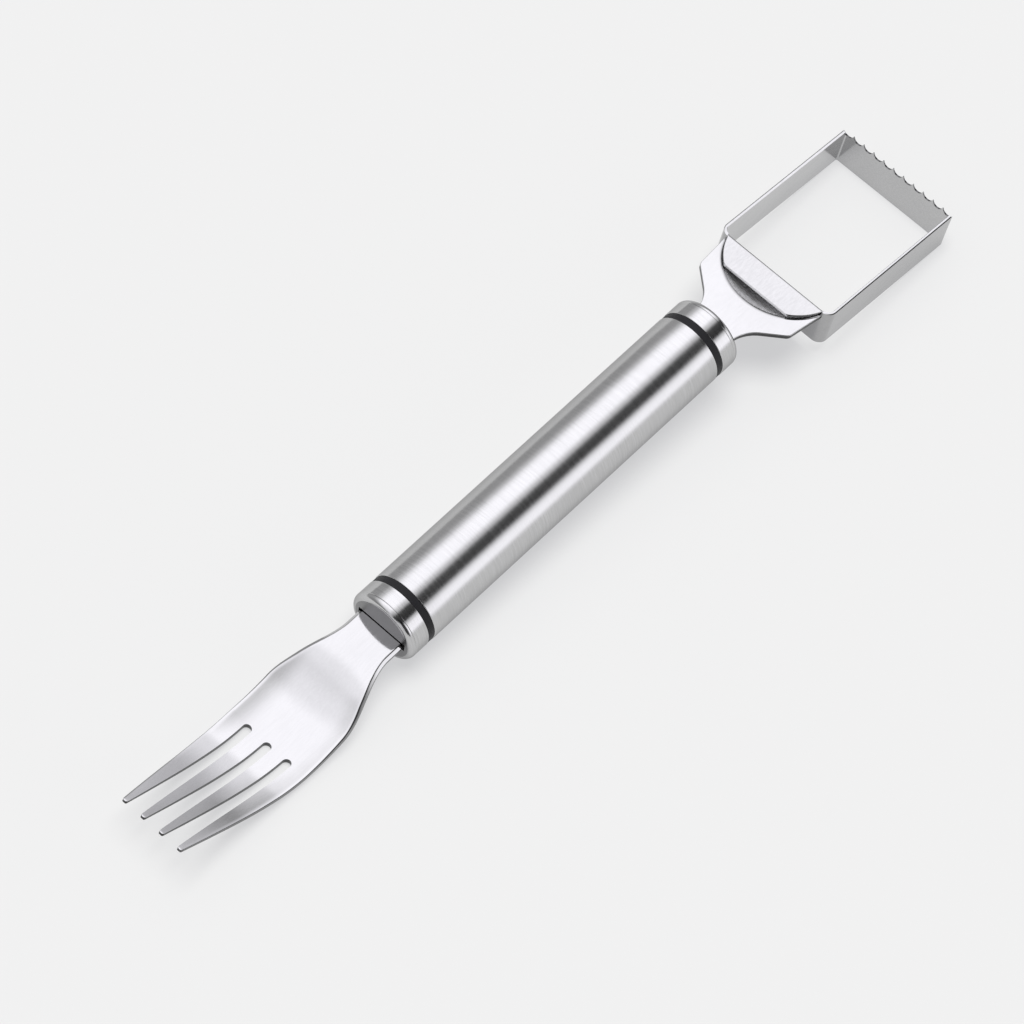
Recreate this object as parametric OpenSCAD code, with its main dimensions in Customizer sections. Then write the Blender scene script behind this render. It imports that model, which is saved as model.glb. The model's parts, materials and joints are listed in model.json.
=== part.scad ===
// Melon cutter fork: a four-tine fork and a square serrated blade loop on one tube handle.
// Millimetres. It lies on its fork's belly and on the far edge of its blade, on the plane z = 0,
// with the fork on the -X side and the blade on the +X side.

/* [Handle] */
// Outside diameter of the tube
tube_d = 17; // [14:0.5:22]
// Length of the tube between the two rings
tube_len = 87; // [60:1:120]
// Wall of the tube
tube_wall = 0.8; // [0.5:0.1:1.2]

/* [Rings] */
// Width of each rubber ring, along the handle
ring_w = 1.75; // [1:0.25:4]
// Depth of a ring's surface below the tube's
ring_recess = 0.1; // [0:0.05:0.4]

/* [Caps] */
// Length of each end cap
cap_len = 5.1; // [4:0.1:9]
// Thickness of a cap's flat end
cap_end = 0.9; // [0.6:0.1:1.5]
// Radius round the edge of a cap's end
cap_edge_r = 1.5; // [0.5:0.1:2]
// Room on each side of a tang in its cap's slot
slot_clear = 0.1; // [0.05:0.05:0.3]

/* [Cores] */
// Length of each moulded core inside the tube
core_reach = 14; // [10:1:25]
// Length of each tang, measured in from the cap's end
tang_len = 15; // [10:1:18]
// Diameter of the key that is moulded through each tang
key_d = 4; // [2:0.5:5]

/* [Fork sheet] */
// Thickness of the fork at its neck
fork_t = 1.6; // [0.8:0.1:2]
// Thickness at the tips of the tines
tip_t = 0.7; // [0.5:0.1:2]
// Width of the neck and the tang
fork_neck_w = 12; // [8:0.5:13]
// Width of the bowl
fork_w = 21.2; // [18:0.2:28]
// Distance from the cap at which the neck begins to flare
flare_from = 4; // [2:0.5:8]
// Length of the flare
flare_len = 17.5; // [12:0.5:24]
// Rise of the bowl's edges above its middle
fork_dish = 1.5; // [0:0.1:3]

/* [Fork bends] */
// Straight length of the neck outside the cap
neck_run = 4.6; // [2:0.2:10]
// Radius of the bend at which the neck dips
dip_r = 20; // [12:1:40]
// Angle of the dip, in degrees
dip_turn = 31; // [10:1:40]
// Radius of the belly
belly_r = 31; // [20:1:60]
// Angle at which the tines leave the belly, in degrees
belly_rise = 20; // [5:1:30]
// Radius of the sweep along the tines
sweep_r = 100; // [60:5:200]
// Angle of the sweep, in degrees
sweep_turn = 6.5; // [0.5:0.5:15]
// Straight length at the tips
tip_run = 16.5; // [8:0.5:25]

/* [Tines] */
// Distance from the cap to the roots of the slots
slot_root = 32.2; // [24:0.2:40]
// Width of a slot at its root
slot_w = 2.1; // [1.2:0.1:3]
// Distance between the slots at their roots
root_pitch = 5.5; // [4:0.1:7]
// Distance between the tines at their tips
tip_pitch = 5.0; // [3.5:0.1:7]
// Width of a tine at its tip
tip_w = 1.15; // [1:0.05:2.5]
// Radius of the corners of a tip
tip_r = 0.5; // [0.2:0.02:0.5]

/* [Cutter neck] */
// Thickness of the neck plate
plate_t = 1.2; // [0.8:0.1:2]
// Width of the neck and the tang
plate_neck_w = 10.4; // [7:0.2:13]
// Distance from the cap to the bend
bend_out = 0.2; // [0.1:0.1:4]
// Radius of the bend, at the middle of the sheet
bend_r = 6; // [3:0.5:20]
// Angle by which the cutter dips below the handle, in degrees
head_pitch = 8.6; // [2:0.2:15]
// Length of the plate from the bend to the blade
plate_len = 20.6; // [16:0.2:30]
// Radius of the hollow curve from the neck to the wings
flare_r = 9; // [5:0.5:12]
// Angle of the flare at the wings, in degrees
flare_turn = 48; // [35:1:60]
// Width across the wings' front corners
wing_w = 25.4; // [20:0.2:26]
// Width across the wings at the blade
wing_root_w = 27.4; // [22:0.2:28]
// Radius of the wings' front corners
wing_r = 1.8; // [0.5:0.1:2]

/* [Scoop] */
// Diameter of the round scoop pressed into the plate, which stops at the blade
scoop_d = 28.8; // [18:0.4:32]
// Depth of the scoop at its middle
scoop_depth = 3.2; // [1:0.1:3.8]
// Distance from the bend to the middle of the scoop
scoop_at = 24.8; // [22:0.1:28]

/* [Blade] */
// Thickness of the strap
blade_t = 0.7; // [0.5:0.1:1.2]
// Outside length of the loop
blade_len = 43.6; // [30:0.2:60]
// Outside width of the loop
blade_w = 31.2; // [28:0.1:45]
// Height of the strap
blade_h = 9.8; // [7:0.2:16]
// Outside radius of the corners at the neck
near_r = 2.3; // [1.5:0.1:2.3]
// Outside radius of the corners at the teeth
far_r = 1.5; // [1.3:0.1:3]
// Reach of the folded flange over the neck plate
flange_reach = 6.5; // [4:0.1:8]
// Width of the flange at its free edge, from which its ends bow out to the loop's corners
flange_w = 17.6; // [12:0.2:20]
// Radius of the flange's corners
flange_r = 1; // [0.5:0.1:2.5]
// Number of scallops between the teeth
scallops = 11; // [7:1:15]
// Flat width left at the top of each tooth
tooth_flat = 0.2; // [0.1:0.05:0.8]
// Depth of the scallops
scallop_depth = 1; // [0.5:0.05:1.2]
// Thickness of the teeth at their tops
tooth_t = 0.2; // [0.1:0.05:0.5]
// Height over which the toothed wall is ground thin from outside
grind_h = 2.6; // [1.5:0.1:5]

/* [Hidden] */
$fn = 96;

// Outside of the cores, and the inside of all that is pushed over them
core_d = tube_d - 2 * tube_wall;
// Distances from the handle's middle, the same towards both ends
ring_from = tube_len / 2;
cap_from = ring_from + ring_w;
cap_face = cap_from + cap_len;
tang_from = cap_face - tang_len;
key_at = cap_face - cap_end - (tang_len - cap_end) / 2;
// A cut runs this far past the faces that it opens
past = 1;

// Runs of the fork's middle line: length, turn in degrees, steps
function arc_len(r, turn) = r * turn * PI / 180;
fork_runs = [
    [tang_len, 0, 1],
    [neck_run, 0, 3],
    [arc_len(dip_r, dip_turn), -dip_turn, 10],
    [arc_len(belly_r, dip_turn + belly_rise), dip_turn + belly_rise, 14],
    [arc_len(sweep_r, sweep_turn), sweep_turn, 5],
    [tip_run, 0, 7]];
fork_start = [tang_from, 0, 0];
// A pose is [distance out, height, heading]; this is the one at the end of a run
function pose_after(p, run, turn) = turn == 0
    ? [p.x + run * cos(p.z), p.y + run * sin(p.z), p.z]
    : let (r = run * 180 / (PI * turn))
      [p.x + r * (sin(p.z + turn) - sin(p.z)), p.y - r * (cos(p.z + turn) - cos(p.z)), p.z + turn];
// All poses along a list of runs
function walk(p, runs, i = 0) = i == len(runs) ? [] : concat(
    [for (k = [1:runs[i][2]]) pose_after(p, runs[i][0] * k / runs[i][2], runs[i][1] * k / runs[i][2])],
    walk(pose_after(p, runs[i][0], runs[i][1]), runs, i + 1));
fork_poses = concat([fork_start], walk(fork_start, fork_runs));
tip = fork_poses[len(fork_poses) - 1];
slot_end = cap_face + slot_root;
fork_tip_w = 3 * tip_pitch + tip_w;

// Smooth rise from 0 to 1
function ease(t) = let (c = max(0, min(1, t))) c * c * (3 - 2 * c);
function flared(out) = ease((out - cap_face - flare_from) / flare_len);
function tapered(out) = max(0, (out - slot_end) / (tip.x - slot_end));
// Half width, rise of the edges and thickness of the fork at a distance out
function fork_half(out) = (fork_neck_w + (fork_w - fork_neck_w) * flared(out)
                           - (fork_w - fork_tip_w) * pow(tapered(out), 1.5)) / 2;
function fork_rise(out) = fork_dish * flared(out) * (1 - tapered(out));
function fork_thick(out) = fork_t + (tip_t - fork_t) * tapered(out);
// Point on the fork's sheet: k runs from -1 to 1 across it, side is 1 on top and -1 below
function fork_point(p, k, side) =
    let (lift = fork_rise(p.x) * k * k + side * fork_thick(p.x) / 2)
    [p.x - lift * sin(p.z), k * fork_half(p.x), p.y + lift * cos(p.z)];

// Cutter head: its frame starts where the bend ends and dips with it
head_x = cap_face + bend_out + bend_r * sin(head_pitch);
head_z = -bend_r * (1 - cos(head_pitch));
blade_top = plate_t / 2 + blade_t;
blade_far = plate_len + blade_len;
tooth_pitch = blade_w / scallops;
scallop_half = (tooth_pitch - tooth_flat) / 2;
scallop_r = (pow(scallop_half, 2) + pow(scallop_depth, 2)) / (2 * scallop_depth);
// Point of the head's frame, as [x, z] of the handle
function from_head(u, w) = [head_x + u * cos(head_pitch) + w * sin(head_pitch),
                            head_z - u * sin(head_pitch) + w * cos(head_pitch)];
// Point [x, z] of the handle, in the head's frame
function to_head(p) = let (d = p - [head_x, head_z])
    [d.x * cos(head_pitch) - d.y * sin(head_pitch), d.x * sin(head_pitch) + d.y * cos(head_pitch)];

// The tool lies on the line that touches the belly from below and the blade's far lower edge
belly_start = pose_after(pose_after(fork_start, tang_len + neck_run, 0), fork_runs[2][0], -dip_turn);
belly_mid = [-belly_start.x + belly_r * sin(belly_start.z), belly_start.y + belly_r * cos(belly_start.z)];
foot = from_head(blade_far, blade_top - blade_h);
reach = foot - belly_mid;
rest_turn = acos((belly_r + fork_t / 2) / norm(reach)) - 90 - atan2(reach.y, reach.x);
// Handle point [x, z] turned to the level of the plane that the tool lies on
function levelled(p) = [p.x * cos(rest_turn) - p.y * sin(rest_turn),
                        p.x * sin(rest_turn) + p.y * cos(rest_turn)];
tip_low = levelled([-tip.x - tip_t / 2 * sin(tip.z), tip.y - tip_t / 2 * cos(tip.z)]);
blade_end = levelled(from_head(blade_far, blade_top - grind_h));
rest_x = -(tip_low.x + blade_end.x) / 2;
rest_z = -levelled(foot).y;

// Points along an arc
function arc(c, r, from, to, n = 10) = [for (i = [0:n]) c + r * [cos(from + (to - from) * i / n),
                                                                 sin(from + (to - from) * i / n)]];
function mirrored(pts) = [for (i = [len(pts) - 1:-1:0]) [pts[i].x, -pts[i].y]];

// Lays a piece of the handle's frame on the plane
module lie() {
    translate([rest_x, 0, rest_z]) rotate([0, -rest_turn, 0]) children();
}

// Turns what is drawn along Z to run out along the handle
module along() {
    rotate([0, 90, 0]) children();
}

// Moves into the frame of the cutter's head
module head() {
    translate([head_x, 0, head_z]) rotate([0, head_pitch, 0]) children();
}

// Flat band round the core, such as the tube or a ring
module sleeve(od, from, length) {
    along() translate([0, 0, from]) difference() {
        cylinder(d = od, h = length);
        translate([0, 0, -past]) cylinder(d = core_d, h = length + 2 * past);
    }
}

// Drawn cup with a rounded end and a slot for a tang
module cap(slot_w, slot_t) {
    bore_len = cap_len - cap_end;
    difference() {
        along() translate([0, 0, cap_from]) difference() {
            rotate_extrude() {
                square([tube_d / 2, cap_len - cap_edge_r]);
                square([tube_d / 2 - cap_edge_r, cap_len]);
                translate([tube_d / 2 - cap_edge_r, cap_len - cap_edge_r]) intersection() {
                    circle(r = cap_edge_r);
                    square(cap_edge_r);
                }
            }
            translate([0, 0, -past]) cylinder(d = core_d, h = bore_len + past);
        }
        translate([cap_face, 0, 0])
            cube([4 * cap_end, slot_w + 2 * slot_clear, slot_t + 2 * slot_clear], center = true);
    }
}

// Moulded plug round a tang, keyed through the tang's hole
module core(tang_w, tang_t) {
    core_from = ring_from - core_reach;
    core_to = cap_face - cap_end;
    difference() {
        along() translate([0, 0, core_from]) cylinder(d = core_d, h = core_to - core_from);
        difference() {
            translate([tang_from, -tang_w / 2, -tang_t / 2]) cube([tang_len + past, tang_w, tang_t]);
            translate([key_at, 0, -tang_t]) cylinder(d = key_d, h = 2 * tang_t);
        }
    }
}

// Hole in a tang for its core's key
module key_hole(tang_t) {
    translate([key_at, 0, -tang_t]) cylinder(d = key_d, h = 2 * tang_t);
}

// Bent and dished sheet of the fork before the slots are cut, out along +X
module fork_blank() {
    cols = 8;
    rows = len(fork_poses);
    row = 2 * (cols + 1);
    points = [for (p = fork_poses) each [for (side = [1, -1]) for (c = [0:cols])
                                         fork_point(p, 2 * c / cols - 1, side)]];
    // Corner numbers go round each cross-section: the top from left to right, then the bottom back
    loop = concat([for (c = [0:cols]) c], [for (c = [cols:-1:0]) cols + 1 + c]);
    walls = [for (r = [0:rows - 2]) for (i = [0:row - 1])
             let (a = loop[i], b = loop[(i + 1) % row])
             [r * row + a, r * row + b, (r + 1) * row + b, (r + 1) * row + a]];
    ends = [for (c = [0:cols - 1]) each [
        [c, cols + 1 + c, cols + 2 + c, c + 1],
        [for (v = [c + 1, cols + 2 + c, cols + 1 + c, c]) (rows - 1) * row + v]]];
    polyhedron(points, concat(walls, ends), convexity = 6);
}

// One slot between two tines: a round root that widens to the tips, faster and faster
module slot(i) {
    tip_slot = tip_pitch - tip_w;
    root = slot_end + slot_w / 2;
    steps = 10;
    // Places along the slot as shares of the way to the tips; the last is a little past them
    shares = [for (k = [0:steps]) k / steps * (tip.x + past - root) / (tip.x - root)];
    function edge(on, side) = [root + on * (tip.x - root), i * (root_pitch + (tip_pitch - root_pitch) * on)
                               + side * (slot_w + (tip_slot - slot_w) * on * on) / 2];
    translate([0, 0, -fork_w]) linear_extrude(2 * fork_w) {
        translate([root, i * root_pitch]) circle(d = slot_w);
        polygon(concat([for (on = shares) edge(on, -1)], [for (k = [steps:-1:0]) edge(shares[k], 1)]));
    }
}

// Rounds one corner of a tine's tip; side is 1 or -1
module tip_corner(y, side) {
    translate([tip.x, y, tip.y]) rotate([0, -tip.z, 0])
        translate([-tip_r, side * (tip_w / 2 - tip_r), -tip_t]) linear_extrude(2 * tip_t)
            difference() {
                translate([0, side > 0 ? 0 : -tip_r - past]) square([tip_r + past, tip_r + past]);
                circle(r = tip_r, $fn = 32);
            }
}

// Plan of the neck plate, square to the head; the neck's strip runs on back past the tang
module plate_plan() {
    neck = plate_neck_w / 2;
    back = tang_len + bend_out + bend_r;
    flare_end = [flare_r * sin(flare_turn), neck + flare_r * (1 - cos(flare_turn))];
    corner = [flare_end.x + (wing_w / 2 - flare_end.y) / tan(flare_turn), wing_w / 2];
    // Turn from the flare to the wing's edge, and the length that its round corner takes of each
    edge_turn = atan2(wing_root_w / 2 - corner.y, plate_len - corner.x);
    cut = wing_r * tan((flare_turn - edge_turn) / 2);
    round_from = corner - cut * [cos(flare_turn), sin(flare_turn)];
    round_mid = round_from + wing_r * [sin(flare_turn), -cos(flare_turn)];
    side = concat(
        [[-back, neck]],
        arc([0, neck + flare_r], flare_r, -90, -90 + flare_turn),
        arc(round_mid, wing_r, 90 + flare_turn, 90 + edge_turn, 6),
        [[plate_len, wing_root_w / 2]]);
    polygon(concat(side, mirrored(side)));
}

// Plan of the blade's loop, drawn in from the outside by a wall
module loop_plan(inset) {
    x0 = plate_len + inset;
    x1 = blade_far - inset;
    y = blade_w / 2 - inset;
    near = near_r - inset;
    far = far_r - inset;
    side = concat(arc([x0 + near, y - near], near, 180, 90, 8), arc([x1 - far, y - far], far, 90, 0, 8));
    polygon(concat(side, mirrored(side)));
}

// Plan of the flange that the near wall folds over the neck plate; both ends bow about one middle
module flange_plan() {
    root = [plate_len + blade_t / 2, blade_w / 2 - near_r];
    edge = [plate_len - flange_reach, flange_w / 2];
    mid = [(root * root - edge * edge) / (2 * (root.x - edge.x)), 0];
    bow_r = norm(edge - mid);
    corner_x = edge.x + flange_r;
    corner = [corner_x, sqrt(pow(bow_r - flange_r, 2) - pow(mid.x - corner_x, 2))];
    turn = atan2(corner.y, corner.x - mid.x);
    bow = arc(mid, bow_r, turn, atan2(root.y, root.x - mid.x), 12);
    side = concat(arc(corner, flange_r, 180, turn, 6), [for (i = [1:len(bow) - 1]) bow[i]]);
    polygon(concat(side, mirrored(side)));
}

// Wedge outside the toothed wall that is ground off
module grinding() {
    lean = (blade_t - tooth_t) / grind_h;
    rotate([90, 0, 0]) linear_extrude(blade_w + 2 * past, center = true) polygon([
        [blade_far + lean * past, -grind_h - past], [blade_far + 2 * past, -grind_h - past],
        [blade_far + 2 * past, past], [blade_far - lean * (grind_h + past), past]]);
}

module handle_tube() {
    color("silver") lie() sleeve(tube_d, -ring_from, tube_len);
}

module fork_ring() {
    color("#1d1d1f") lie() mirror([1, 0, 0]) sleeve(tube_d - 2 * ring_recess, ring_from, ring_w);
}

module cutter_ring() {
    color("#1d1d1f") lie() sleeve(tube_d - 2 * ring_recess, ring_from, ring_w);
}

module fork_cap() {
    color("gainsboro") lie() mirror([1, 0, 0]) cap(fork_neck_w, fork_t);
}

module cutter_cap() {
    color("gainsboro") lie() cap(plate_neck_w, plate_t);
}

module fork_core() {
    color("dimgray") lie() mirror([1, 0, 0]) core(fork_neck_w, fork_t);
}

module cutter_core() {
    color("dimgray") lie() core(plate_neck_w, plate_t);
}

module fork() {
    color("whitesmoke") lie() mirror([1, 0, 0]) difference() {
        fork_blank();
        for (i = [-1:1]) slot(i);
        for (i = [0:3], side = [-1, 1]) tip_corner((i - 1.5) * tip_pitch, side);
        key_hole(fork_t);
    }
}

// Ball that presses the scoop, grown by a wall; its lowest point is one depth below the plate's top
module scoop_ball(wall) {
    ball_r = (pow(scoop_d / 2, 2) + pow(scoop_depth, 2)) / (2 * scoop_depth);
    translate([scoop_at, 0, plate_t / 2 + ball_r - scoop_depth]) rotate([90, 0, 0]) sphere(r = ball_r + wall);
}

// One skin of the neck's bent strip, seen from the side: tang, bend, plate; side is 1 or -1
function neck_skin(side) = concat(
    [to_head([tang_from, side * plate_t / 2])],
    [for (p = arc([cap_face + bend_out, -bend_r], bend_r + side * plate_t / 2, 90, 90 - head_pitch, 4))
     to_head(p)],
    [[plate_len + past, side * plate_t / 2]]);

// Bent strip of the neck, as wide as the wings and a little longer than the plate
module neck_strip() {
    below = neck_skin(-1);
    rotate([90, 0, 0]) linear_extrude(wing_root_w + wing_w, center = true)
        polygon(concat(neck_skin(1), [for (i = [len(below) - 1:-1:0]) below[i]]));
}

module cutter_neck() {
    // Half the height that holds the tang, which climbs away from the head's plane, and the scoop
    tall = tang_len + scoop_depth + plate_t;
    color("whitesmoke") lie() difference() {
        head() difference() {
            intersection() {
                union() {
                    neck_strip();
                    intersection() {
                        scoop_ball(plate_t);
                        translate([scoop_at - scoop_d, -scoop_d, -tall])
                            cube([2 * scoop_d, 2 * scoop_d, tall]);
                    }
                }
                translate([0, 0, -tall]) linear_extrude(2 * tall) plate_plan();
            }
            scoop_ball(0);
        }
        key_hole(plate_t);
    }
}

module cutter_blade() {
    color("lightgray") lie() head() translate([0, 0, blade_top]) difference() {
        union() {
            translate([0, 0, -blade_h]) linear_extrude(blade_h) difference() {
                loop_plan(0);
                loop_plan(blade_t);
            }
            translate([0, 0, -blade_t]) linear_extrude(blade_t) flange_plan();
        }
        for (i = [0:scallops - 1])
            translate([blade_far - blade_t - past / 2, (i + 0.5) * tooth_pitch - blade_w / 2,
                       scallop_r - scallop_depth])
                along() cylinder(r = scallop_r, h = blade_t + past);
        grinding();
    }
}

handle_tube();
fork_ring();
cutter_ring();
fork_cap();
cutter_cap();
fork_core();
cutter_core();
fork();
cutter_neck();
cutter_blade();
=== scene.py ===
"""Looks of the melon cutter fork: a dished fork and a square serrated cutter on one satin tube.

Sizes of the pieces are in millimetres, in the handle's frame. Finishes and the studio are in metres.
"""

import json
import logging
import math
from collections.abc import Callable, Iterable
from dataclasses import dataclass, field
from enum import Enum
from typing import Any

import bmesh
import bpy
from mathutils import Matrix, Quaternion, Vector


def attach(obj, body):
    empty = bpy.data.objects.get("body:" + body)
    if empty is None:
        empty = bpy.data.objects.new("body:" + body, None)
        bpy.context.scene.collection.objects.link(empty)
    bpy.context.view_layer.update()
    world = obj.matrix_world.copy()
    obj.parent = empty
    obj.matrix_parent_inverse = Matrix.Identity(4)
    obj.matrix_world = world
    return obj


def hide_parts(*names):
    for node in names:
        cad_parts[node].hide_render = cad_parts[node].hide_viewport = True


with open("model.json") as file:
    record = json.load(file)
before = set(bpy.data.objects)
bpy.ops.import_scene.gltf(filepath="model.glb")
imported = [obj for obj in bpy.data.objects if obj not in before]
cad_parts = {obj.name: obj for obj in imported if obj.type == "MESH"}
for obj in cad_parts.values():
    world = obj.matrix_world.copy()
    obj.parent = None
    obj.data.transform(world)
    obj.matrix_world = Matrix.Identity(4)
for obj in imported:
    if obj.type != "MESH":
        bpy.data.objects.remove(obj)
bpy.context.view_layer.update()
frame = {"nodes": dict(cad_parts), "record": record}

LOG = logging.getLogger("melon_cutter_fork")
BODY = "root"

Color = tuple[float, float, float]
Point = tuple[float, float, float]
Flat = tuple[float, float]
Face = tuple[int, ...]

MM = 0.001
QUARTER = math.pi / 2
UNIT: Flat = (0.0, 1.0)
WHITE: Color = (1.0, 1.0, 1.0)
# Metres between corners that are welded, and the angle from which an edge stays sharp.
WELD = 1e-7
SHARP = math.radians(38)
# Millimetres by which the corners of a flat end may be off its plane.
LEVEL = 1e-7
# Millimetres on either side of a place, between which the slope of an outline is taken.
SLOPE_STEP = 0.05
# Places across a sheet that are told apart in a millimetre.
PLACES_PER_MM = 1e4
# Largest share of a sheet's thickness that the rounding of its edge takes.
ROUND_SHARE = 0.49
# Places of corners in from an edge, as shares of its rounding, and the most of a strip that they take.
EDGE_PLACES = (0.0, 0.08, 0.3, 0.6, 0.8, 0.92, 1.04, 1.2, 1.5)
EDGE_SHARE = 0.42


def spread(low: float, high: float, count: int) -> list[float]:
    """Evenly spaced values from low to high, both included, with count steps between them."""
    return [low + (high - low) * i / count for i in range(count + 1)]


def around(count: int) -> list[float]:
    """Angles of count places round a full turn, in radians."""
    return [2 * math.pi * i / count for i in range(count)]


def ease(share: float) -> float:
    """Smooth rise from 0 to 1."""
    t = min(1.0, max(0.0, share))
    return t * t * (3 - 2 * t)


@dataclass(frozen=True)
class Grip:
    """Frame of the handle: X runs along the tube to the cutter, and Z is square to it.

    The origin is in metres, as the record has it. Points in the frame are in millimetres.
    """

    origin: Vector
    axis: Vector
    radius: float
    length: float

    @classmethod
    def from_record(cls, record: dict[str, Any]) -> "Grip":
        """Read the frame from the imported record.

        Args:
            record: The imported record, whose mount named grip is the tube.

        Returns:
            The handle's frame and the tube's size.
        """
        mount = next(m for m in record["mounts"] if m["name"] == "grip")
        axis = Vector(mount["axis"]).normalized()
        return cls(Vector(mount["pos_m"]), axis, mount["dims"]["r_mm"], mount["dims"]["length_mm"])

    @property
    def tilt(self) -> float:
        """Angle by which the tube climbs towards the cutter, in radians."""
        return math.atan2(self.axis.z, self.axis.x)

    def place(self, point: Point) -> Vector:
        """Point of the handle's frame, in millimetres, moved to the frame of the whole tool, in metres."""
        square = Vector((-self.axis.z, 0.0, self.axis.x))
        return self.origin + MM * (point[0] * self.axis + Vector((0.0, point[1], 0.0)) + point[2] * square)


class Side(Enum):
    """Ends of the handle, with the direction in which each lies."""

    FORK = -1
    CUTTER = 1

    @property
    def word(self) -> str:
        """Name of the end, as the nodes have it."""
        return self.name.lower()


@dataclass
class Solid:
    """Corners in the handle's frame, in millimetres, and the faces between them.

    The walls are sheared edges painted near-black for the shade along them, end faces in a darker colour, or
    a strap's outside painted darker for shade; the accents a scoop painted lighter to lift its shade, a
    fork's sides painted dark for shade, or ground teeth; and the edges the teeth's own cut edges, painted
    dark for shade.
    """

    points: list[Point] = field(default_factory=list)
    faces: list[Face] = field(default_factory=list)
    walls: list[Face] = field(default_factory=list)
    accents: list[Face] = field(default_factory=list)
    edges: list[Face] = field(default_factory=list)

    @classmethod
    def turned(cls, profile: list[Flat], steps: int = 192) -> "Solid":
        """Turn a closed profile about the handle's axis.

        Args:
            profile: Distances along the axis and radii, in order round the profile.
            steps: Number of faces round the axis.

        Returns:
            The turned solid.
        """
        made = cls()
        for angle in around(steps):
            made.points += [(x, r * math.cos(angle), r * math.sin(angle)) for x, r in profile]
        made.link_rings(len(profile), steps)
        return made

    @classmethod
    def box(cls, low: Point, high: Point) -> "Solid":
        """Box between two corners.

        Args:
            low: Its lowest corner.
            high: Its highest corner.

        Returns:
            The box as a solid.
        """
        xs, ys, zs = zip(low, high)
        points = [(x, y, z) for x in xs for y in ys for z in zs]
        faces = [(0, 1, 3, 2), (4, 6, 7, 5), (0, 4, 5, 1), (2, 3, 7, 6), (0, 2, 6, 4), (1, 5, 7, 3)]
        return cls(points, faces)

    @classmethod
    def peg(cls, x: float, radius: float, half_height: float, steps: int = 64) -> "Solid":
        """Upright round peg.

        Args:
            x: Place of its middle along the handle.
            radius: Its radius.
            half_height: Half its height.
            steps: Number of faces round it.

        Returns:
            The peg as a solid.
        """
        made = cls()
        for angle in around(steps):
            rim = (x + radius * math.cos(angle), radius * math.sin(angle))
            made.points += [(*rim, -half_height), (*rim, half_height)]
        count = len(made.points)
        for low in range(0, count, 2):
            after = (low + 2) % count
            made.faces.append((low, after, after + 1, low + 1))
        made.faces += [tuple(range(0, count, 2)), tuple(range(1, count, 2))]
        return made

    def link_rings(self, size: int, count: int) -> None:
        """Join closed rings of points to a closed skin.

        Args:
            size: Number of points in a ring.
            count: Number of rings; the last joins the first.
        """
        for ring in range(count):
            here, there = ring * size, (ring + 1) % count * size
            for i in range(size):
                j = (i + 1) % size
                self.faces.append((here + i, here + j, there + j, there + i))

    def set_apart(self) -> None:
        """Take the walls, accents and edges out of the plain faces."""
        others = set(self.walls + self.accents + self.edges)
        self.faces = [face for face in self.faces if face not in others]


@dataclass
class Sheet:
    """Two skins of a metal sheet, gathered row by row and then closed at their edges."""

    above: list[Point] = field(default_factory=list)
    below: list[Point] = field(default_factory=list)
    faces: list[Face] = field(default_factory=list)
    known: dict[tuple[int, int], int] = field(default_factory=dict)

    def corner(self, row: int, across: float, above: Point, below: Point) -> int:
        """Add a pair of corners, or find the pair that is there already.

        Args:
            row: Number of the row.
            across: Place across the sheet, which tells corners of a row apart.
            above: Corner of the upper skin.
            below: Corner of the lower skin.

        Returns:
            Number of the pair.
        """
        key = (row, round(across * PLACES_PER_MM))
        if key not in self.known:
            self.known[key] = len(self.above)
            self.above.append(above)
            self.below.append(below)
        return self.known[key]

    def patch(self, rows: list[list[int]]) -> None:
        """Lay faces between rows of corners.

        Args:
            rows: Numbers of the corners in each row; all rows have the same length.
        """
        for near, far in zip(rows, rows[1:]):
            for i in range(len(near) - 1):
                self.faces.append((near[i], near[i + 1], far[i + 1], far[i]))

    def solid(self) -> Solid:
        """Close the two skins to one solid.

        Returns:
            The solid, whose walls close the sheet along its outline.
        """
        count = len(self.above)
        edges: set[tuple[int, int]] = set()
        for face in self.faces:
            edges.update(zip(face, face[1:] + face[:1]))
        rims = [(a, b) for a, b in edges if (b, a) not in edges]
        under = [tuple(count + i for i in reversed(face)) for face in self.faces]
        walls = [(b, a, count + a, count + b) for a, b in sorted(rims)]
        return Solid(self.above + self.below, self.faces + under, walls)


def rounded_half(thick: float, radius: float, inside: float) -> float:
    """Half thickness of a sheet near its rounded edge.

    Args:
        thick: Thickness of the sheet.
        radius: Radius of the edge's rounding.
        inside: Distance in from the edge.

    Returns:
        Half the thickness there.
    """
    r = min(radius, ROUND_SHARE * thick)
    if inside >= r:
        return thick / 2
    return thick / 2 - r + math.sqrt(max(0.0, r * r - (r - max(0.0, inside)) ** 2))


def across_strip(low: float, high: float, radius: float, inner: int) -> list[float]:
    """Places across a strip, close together where its edges round.

    Args:
        low: One edge.
        high: The other edge.
        radius: Radius of the edges' rounding.
        inner: Number of steps between the rounded edges.

    Returns:
        Places from low to high.
    """
    scale = min(radius, EDGE_SHARE * (high - low) / EDGE_PLACES[-1])
    left = [low + scale * share for share in EDGE_PLACES]
    right = [high - scale * share for share in reversed(EDGE_PLACES)]
    return left[:-1] + spread(left[-1], right[0], inner) + right[1:]


def from_edge(half_width: Callable[[float], float], at: float, off: float) -> float:
    """Distance in from a sheet's side edge, square to it, at a place along the sheet and off its middle."""
    slope = (half_width(at + SLOPE_STEP) - half_width(at - SLOPE_STEP)) / (2 * SLOPE_STEP)
    return (half_width(at) - off) / math.hypot(1.0, slope)


def rounded_rim(end: float, radius: float, r: float, way: int, steps: int) -> list[Flat]:
    """Quarter round of radius r, from a turned piece's side to its end, which faces +X where way is 1."""
    turn = spread(0.0, QUARTER, steps)
    return [(end - way * r * (1 - math.sin(a)), radius - r * (1 - math.cos(a))) for a in turn]


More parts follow.
